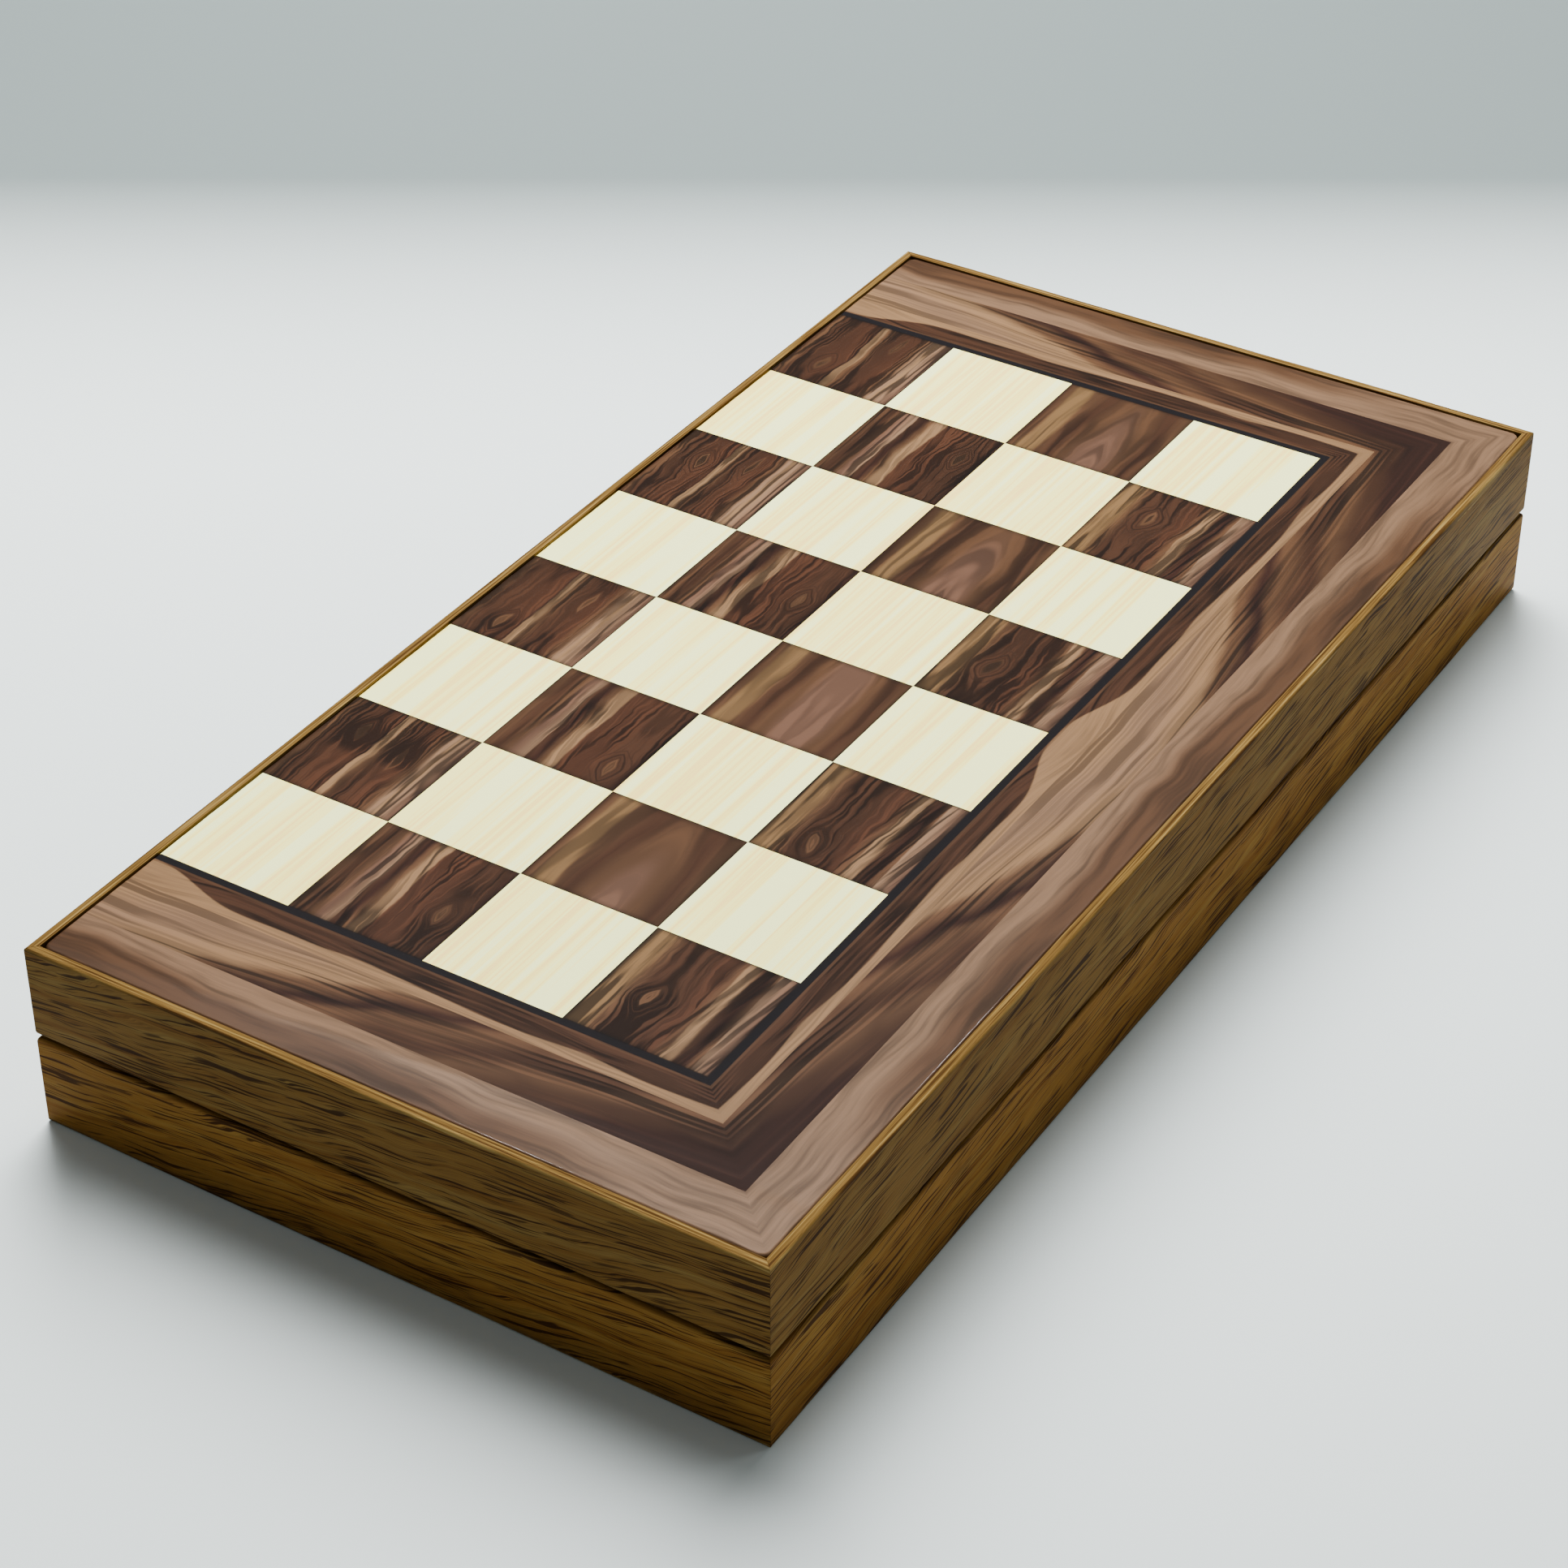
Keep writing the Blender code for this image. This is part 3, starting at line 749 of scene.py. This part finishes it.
def outward(mesh):
    """Turns a closed bmesh's faces outwards."""
    bmesh.ops.recalc_face_normals(mesh, faces=mesh.faces)
    if mesh.calc_volume(signed=True) < 0:
        bmesh.ops.reverse_faces(mesh, faces=mesh.faces)


def link_mesh(name, mesh, *materials, smooth=40):
    """Makes an object of a closed bmesh, smooth except at edges sharper than this many degrees."""
    outward(mesh)
    data = bpy.data.meshes.new(name)
    mesh.to_mesh(data)
    mesh.free()
    data.shade_smooth()
    data.set_sharp_from_angle(angle=math.radians(smooth))
    for material in materials:
        data.materials.append(material)
    piece = bpy.data.objects.new(name, data)
    bpy.context.scene.collection.objects.link(piece)
    return piece


def stands_for(piece, node, body):
    """Puts a piece on a body, in its CAD node's place, and hides that node."""
    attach(piece, body)
    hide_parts(node)


def carve(piece, cutter, smooth=40):
    """Cuts one object out of another for good; the cut faces take the cutter's material."""
    cut = piece.modifiers.new("cut", "BOOLEAN")
    cut.operation = "DIFFERENCE"
    cut.solver = "EXACT"
    cut.material_mode = "TRANSFER"
    cut.object = cutter
    graph = bpy.context.evaluated_depsgraph_get()
    data = bpy.data.meshes.new_from_object(piece.evaluated_get(graph))
    piece.modifiers.clear()
    piece.data = data
    data.set_sharp_from_angle(angle=math.radians(smooth))
    bpy.data.objects.remove(cutter)


def tray_side(tray, height):
    """Height above a tray's outer face, as a height above the table."""
    return TOP - height if tray == "lid" else height


def wall_section(along, seed):
    """A wall's section, with uneven sanded arrises: (depth in from the outer face, height)."""
    foot = ARRIS * (1 + 0.30 * wobble(along * 30, seed))
    rim = RIM_ROUND * (1 + 0.12 * wobble(along * 22, seed + 2))
    inner = INNER_ROUND
    points = arc((foot, foot), foot, 270, 180, ROUND_STEPS)
    points += arc((rim, TRAY_HEIGHT - rim), rim, 180, 90, ROUND_STEPS)
    points += arc((WALL - inner, TRAY_HEIGHT - inner), inner, 90, 0, ROUND_STEPS)
    return points + [(WALL, RABBET), (STRIP, RABBET), (STRIP, 0)]


def oak_wall(tray, side, material, seed):
    """One oak board, a hair short of its mitres, with uneven arrises all along."""
    is_end = side != "front"
    half = (WIDTH if is_end else LENGTH) / 2
    face = {"front": FRONT_FACE, "left_end": LEFT_FACE, "right_end": RIGHT_FACE}[side]
    inwards = -1 if side == "right_end" else 1
    stations = round(2 * half / STATION)
    rings = []
    for i in range(stations + 1):
        share = 2 * i / stations - 1
        ring = []
        for depth, height in wall_section(share * half, seed):
            along = share * (half - depth - MITRE_GAP)
            across = face + inwards * depth
            z = tray_side(tray, height)
            ring.append((across, CASE_Y + along, z) if is_end else (along, across, z))
        rings.append(ring)
    wall = link_mesh(f"{tray}_{side}_board", loft(rings), material)
    stands_for(wall, f"{tray}_{side}_wall", tray)
    return wall


def magnet_pocket(tray):
    """A cutter for the magnet's pocket in the front board's rim, open at the rim."""
    low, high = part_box(f"{tray}_magnet")
    radius = (high[0] - low[0]) / 2 + GAP
    bottom = min(tray_side(tray, low[2]), tray_side(tray, high[2])) - GAP
    pocket = turned([(radius, bottom), (radius, TRAY_HEIGHT + WALL)], POCKET_SIDES)
    for vert in pocket.verts:
        x, y, height = vert.co
        vert.co = (x, y + (low[1] + high[1]) / 2, tray_side(tray, height))
    return link_mesh("pocket", pocket)


def panel_outline(low, high):
    """Points round a box's plan with rounded corners, counter-clockwise from above."""
    corners = ((1, 1, 0), (-1, 1, 90), (-1, -1, 180), (1, -1, 270))
    points = []
    for side_x, side_y, start in corners:
        x = high[0] if side_x > 0 else low[0]
        y = high[1] if side_y > 0 else low[1]
        centre = (x - side_x * CORNER, y - side_y * CORNER)
        turn = arc(centre, CORNER, start, start + 90, CORNER_STEPS)
        points += [Vector((px, py, 0)) for px, py in turn]
    fine = []
    for first, second in zip(points, points[1:] + points[:1]):
        pieces = max(1, round((second - first).length / EDGE_STATION))
        fine += [first.lerp(second, i / pieces) for i in range(pieces)]
    return fine


def panel_ring(tray, outline, inset, height, ripple):
    """The outline moved in by an inset that swings a little, at a height above the tray's outer face."""
    ring = []
    for i, point in enumerate(outline):
        along = (outline[(i + 1) % len(outline)] - outline[i - 1]).normalized()
        outwards = Vector((along.y, -along.x, 0))
        swing = (1 + wobble(i * RIPPLE_RATE, 3.0)) * ripple
        moved = point - outwards * (inset + swing)
        ring.append((moved.x, moved.y, tray_side(tray, height + swing * 0.5)))
    return ring


def printed_panel(tray, material):
    """The lacquered outer panel: rounded corners, and an edge that rolls over a little unevenly."""
    low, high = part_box(f"{tray}_chess_panel")
    recess = TOP - PANEL_BOX[1][2]
    outline = panel_outline(low, high)
    roll = arc((EDGE_ROLL, EDGE_ROLL), EDGE_ROLL, 270, 180, ROLL_STEPS)
    rings = []
    for number, (inset, height) in enumerate(roll):
        share = math.sin(math.pi * number / ROLL_STEPS)
        rings.append(panel_ring(tray, outline, inset, recess + height, share * RIPPLE))
    rings.append(panel_ring(tray, outline, 0, recess + high[2] - low[2], 0))
    panel = link_mesh(f"{tray}_printed_panel", loft(rings), material)
    stands_for(panel, f"{tray}_chess_panel", tray)


def checker_profile(radius, thickness):
    """(radius, height) of a turned checker: rounded rim, a groove and a shallow dish on both faces."""
    top = thickness / 2
    dish = zip(DISH_RADII, (DISH, DISH * DISH_CURVE, 0))
    groove = zip(GROOVE_RADII, (0, GROOVE, GROOVE, 0))
    face = [(CHECKER_HUB, top - DISH)]
    face += [(radius * share, top - depth) for share, depth in (*dish, *groove)]
    round_centre = (radius - CHECKER_ROUND, top - CHECKER_ROUND)
    face += arc(round_centre, CHECKER_ROUND, 90, 0, CHECKER_ROUND_STEPS)
    under = [(r, -z) for r, z in face]
    return under + face[::-1]


def checker(node, material):
    """A turned checker where the frame has it."""
    low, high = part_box(node)
    profile = checker_profile(CHECKER_RADIUS, high[2] - low[2])
    mesh = turned(profile, CHECKER_SIDES)
    middle = (Vector(low) + Vector(high)) / 2
    bmesh.ops.translate(mesh, verts=mesh.verts, vec=middle)
    piece = link_mesh(f"turned_{node}", mesh, material, smooth=35)
    stands_for(piece, node, "base")


# The pips of each count on a three by three grid, and (axis, side, count) for each face of a die.
PIP_PLACES = {
    1: ((0, 0),),
    2: ((-1, -1), (1, 1)),
    3: ((-1, -1), (0, 0), (1, 1)),
    4: ((-1, -1), (-1, 1), (1, -1), (1, 1)),
    5: ((-1, -1), (-1, 1), (1, -1), (1, 1), (0, 0)),
    6: ((-1, -1), (-1, 0), (-1, 1), (1, -1), (1, 0), (1, 1)),
}
DIE_FACES = ((2, 1, 1), (2, -1, 6), (0, 1, 2), (0, -1, 5), (1, 1, 3), (1, -1, 4))


def pip_balls(out):
    """A ball for each pip of a die, centred this far out from the die's middle."""
    balls = bmesh.new()
    for axis, side, count in DIE_FACES:
        for u, v in PIP_PLACES[count]:
            spot = [u * PIP_SPACING, v * PIP_SPACING]
            spot.insert(axis, side * out)
            made = bmesh.ops.create_uvsphere(
                balls, u_segments=PIP_SIDES, v_segments=PIP_RINGS, radius=PIP_RADIUS
            )
            bmesh.ops.translate(balls, verts=made["verts"], vec=spot)
    return balls


def die(node, material, pip_material, size, turn):
    """A rounded cube with hollow pips; opposite faces add up to seven."""
    low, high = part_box(node)
    middle = (Vector(low) + Vector(high)) / 2
    mesh = bmesh.new()
    bmesh.ops.create_cube(mesh, size=size)
    bmesh.ops.bevel(
        mesh, geom=mesh.edges, offset=DIE_ROUND, segments=DIE_ROUND_STEPS, affect="EDGES", profile=0.5
    )
    cube = link_mesh(f"rolled_{node}", mesh, material, pip_material)
    pips = pip_balls(size / 2 + PIP_RADIUS * PIP_LIFT)
    carve(cube, link_mesh("pips", pips, pip_material))
    cube.data.transform(Matrix.Translation(middle) @ Matrix.Rotation(math.radians(turn), 4, "Z"))
    stands_for(cube, node, "base")


def screw(node, tray, material):
    """A countersunk screw with a slot across its head."""
    low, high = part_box(node)
    head = (high[0] - low[0]) / 2
    shank = head * SHANK_SHARE
    bottom = tray_side(tray, high[2] if tray == "lid" else low[2])
    top = bottom + (high[2] - low[2])
    profile = [(shank * TIP_SHARE, bottom), (shank, bottom + TIP_LENGTH), (shank, top - HEAD_CONE)]
    profile += [(head, top - HEAD_RIM), (head - HEAD_EASE, top)]
    mesh = turned(profile, SCREW_SIDES)
    slot = bmesh.new()
    bmesh.ops.create_cube(slot, size=1)
    angle = math.radians(SLOT_TURN * sum(map(ord, node)) % 180)
    size = Matrix.Diagonal((3 * head, SLOT_WIDTH, 2 * SLOT_DEPTH, 1))
    slot.transform(Matrix.Translation((0, 0, top)) @ Matrix.Rotation(angle, 4, "Z") @ size)
    for part in (mesh, slot):
        for vert in part.verts:
            x, y, height = vert.co
            vert.co = (x + (low[0] + high[0]) / 2, y + (low[1] + high[1]) / 2, tray_side(tray, height))
    piece = link_mesh(f"slotted_{node}", mesh, material)
    carve(piece, link_mesh("slot", slot, material))
    stands_for(piece, node, tray)


# ---------------------------------------------------------------- camera, floor and light


VIEW_TARGET = Vector((-63.5 * MM, -16.5 * MM, TOP))
VIEW_AZIMUTH = math.radians(58.0)
VIEW_ELEVATION = math.radians(35.84)
VIEW_DISTANCE = 1.1139
FOCAL_LENGTH = 87.65
SENSOR = 36.0
KEY_PLACE = (0.68, 0.50, 1.26)
KEY_SIZE = (0.95, 1.45)
KEY_POWER = 100
KEY_COLOR = (1.0, 0.985, 0.96)
FILL_PLACE = (2.4, -2.0, 1.0)
FILL_SIZE = (1.0, 1.0)
FILL_POWER = 20
FILL_COLOR = (0.96, 1.0, 0.98)
SPARKLE_PLACES = ((0.30, 0.65, 1.30), (0.90, -0.10, 1.20))
SPARKLE_SIZE = (0.06, 0.06)
SPARKLE_POWER = 3.0
SPARKLE_COLOR = (1.0, 1.0, 1.0)
WORLD_LIGHT = 0.20
WORLD_COLOR = (0.94, 0.97, 0.95)
FLOOR_SIZE = 6.0
FLOOR_COLOR = (0.72, 0.80, 0.81)
FLAG_START = 0.43
FLAG_HEIGHT = 0.15
FLAG_TINT = (0.19, 0.21, 0.21)
FLAG_SIZE = 2.4


def away_from_camera():
    """The level direction in which the camera looks."""
    return Vector((math.sin(VIEW_AZIMUTH), math.cos(VIEW_AZIMUTH), 0))


def make_camera():
    data = bpy.data.cameras.new("camera")
    data.sensor_width = SENSOR
    data.lens = FOCAL_LENGTH
    camera = bpy.data.objects.new("camera", data)
    bpy.context.scene.collection.objects.link(camera)
    flat = math.cos(VIEW_ELEVATION)
    back = -away_from_camera() * flat + Vector((0, 0, math.sin(VIEW_ELEVATION)))
    camera.location = VIEW_TARGET + back * VIEW_DISTANCE
    camera.rotation_euler = (-back).to_track_quat("-Z", "Y").to_euler()
    bpy.context.scene.camera = camera


def sheet(name, half_size, material):
    """A level square that is scenery and no part of the object."""
    mesh = bmesh.new()
    bmesh.ops.create_grid(mesh, x_segments=1, y_segments=1, size=half_size)
    data = bpy.data.meshes.new(name)
    mesh.to_mesh(data)
    mesh.free()
    data.materials.append(material)
    piece = bpy.data.objects.new(name, data)
    bpy.context.scene.collection.objects.link(piece)
    return piece


def make_floor():
    material, _, shader = new_material("floor", roughness=0.7)
    shader.inputs["Base Color"].default_value = (*FLOOR_COLOR, 1)
    shader.inputs["Specular IOR Level"].default_value = 0.2
    sheet("floor", FLOOR_SIZE, material)


def area_light(name, location, size, power, color):
    """A rectangular light that points at the case."""
    data = bpy.data.lights.new(name, "AREA")
    data.shape = "RECTANGLE"
    data.size, data.size_y = size
    data.energy = power
    data.color = color
    light = bpy.data.objects.new(name, data)
    light.location = location
    light.rotation_euler = (-Vector(location)).to_track_quat("-Z", "Y").to_euler()
    bpy.context.scene.collection.objects.link(light)
    return light


def make_flag():
    """A dark film over the far floor, out of sight, so that the light falls off behind the case."""
    material = bpy.data.materials.new("flag")
    material.use_nodes = True
    tree = material.node_tree
    tree.nodes.clear()
    film = tree.nodes.new("ShaderNodeBsdfTransparent")
    film.inputs["Color"].default_value = (*FLAG_TINT, 1)
    output = tree.nodes.new("ShaderNodeOutputMaterial")
    tree.links.new(film.outputs["BSDF"], output.inputs["Surface"])
    flag = sheet("flag", FLAG_SIZE / 2, material)
    flag.location = away_from_camera() * (FLAG_START + FLAG_SIZE / 2) + Vector((0, 0, FLAG_HEIGHT))
    flag.rotation_euler.z = -VIEW_AZIMUTH
    flag.visible_camera = False
    flag.visible_glossy = False


def make_light():
    key = area_light("key", KEY_PLACE, KEY_SIZE, KEY_POWER, KEY_COLOR)
    key.visible_glossy = False
    fill = area_light("fill", FILL_PLACE, FILL_SIZE, FILL_POWER, FILL_COLOR)
    fill.visible_glossy = False
    for number, place in enumerate(SPARKLE_PLACES):
        sparkle = area_light(f"sparkle_{number}", place, SPARKLE_SIZE, SPARKLE_POWER, SPARKLE_COLOR)
        sparkle.visible_diffuse = False
    world = bpy.data.worlds.new("studio")
    world.use_nodes = True
    background = world.node_tree.nodes["Background"]
    background.inputs["Color"].default_value = (*WORLD_COLOR, 1)
    background.inputs["Strength"].default_value = WORLD_LIGHT
    bpy.context.scene.world = world


# ---------------------------------------------------------------- put together


def dress(node, material):
    """Gives a CAD node its finished material."""
    slots = nodes[node].data.materials
    slots.clear()
    slots.append(material)


def soften(node, width):
    """Eases a CAD node's sharp edges."""
    bevel = nodes[node].modifiers.new("soften", "BEVEL")
    bevel.width = width
    bevel.segments = 2
    bevel.limit_method = "ANGLE"
    bevel.angle_limit = math.radians(35)
    bevel.harden_normals = True


make_camera()
make_floor()
make_flag()
make_light()

board = chess_print()
field = field_print()
oak_long = oak("oak_long", "x", 1.0, -0.07)
oak_end = oak("oak_end", "y", 40.0, 0.12)
light_wood = turned_wood("light_checker", (0.62, 0.42, 0.20), (0.44, 0.27, 0.11))
dark_wood = turned_wood("dark_checker", (0.060, 0.025, 0.013), (0.026, 0.010, 0.006))
brass = metal("hinge_brass", (0.78, 0.56, 0.24), (0.42, 0.27, 0.10), 0.26)
nickel = metal("magnet", (0.68, 0.67, 0.64), (0.42, 0.41, 0.39), 0.22)
ivory = plastic("die_plastic", (0.82, 0.77, 0.62), (0.74, 0.67, 0.50), 0.25)
pip_black = plastic("die_pip", (0.020, 0.018, 0.018), (0.035, 0.030, 0.028), 0.35)

for number, tray in enumerate(TRAYS):
    printed_panel(tray, board)
    dress(f"{tray}_field_panel", field)
    dress(f"{tray}_hinge_wall", oak_long)
    front = oak_wall(tray, "front", oak_long, 5.0 + number)
    carve(front, magnet_pocket(tray))
    oak_wall(tray, "left_end", oak_end, 9.0 + number)
    oak_wall(tray, "right_end", oak_end, 13.0 + number)
    dress(f"{tray}_magnet", nickel)
    soften(f"{tray}_magnet", HINGE_BEVEL)
for node in sorted(nodes):
    if node.endswith(("_leaf", "_pin")):
        dress(node, brass)
        soften(node, HINGE_BEVEL)
    elif "_screw_" in node:
        screw(node, "lid" if "_lid_" in node else "base", brass)
    elif node.startswith("checker_light"):
        checker(node, light_wood)
    elif node.startswith("checker_dark"):
        checker(node, dark_wood)
    elif node.startswith("die"):
        die(node, ivory, pip_black, DIE_SIZE, DIE_TURNS[node])
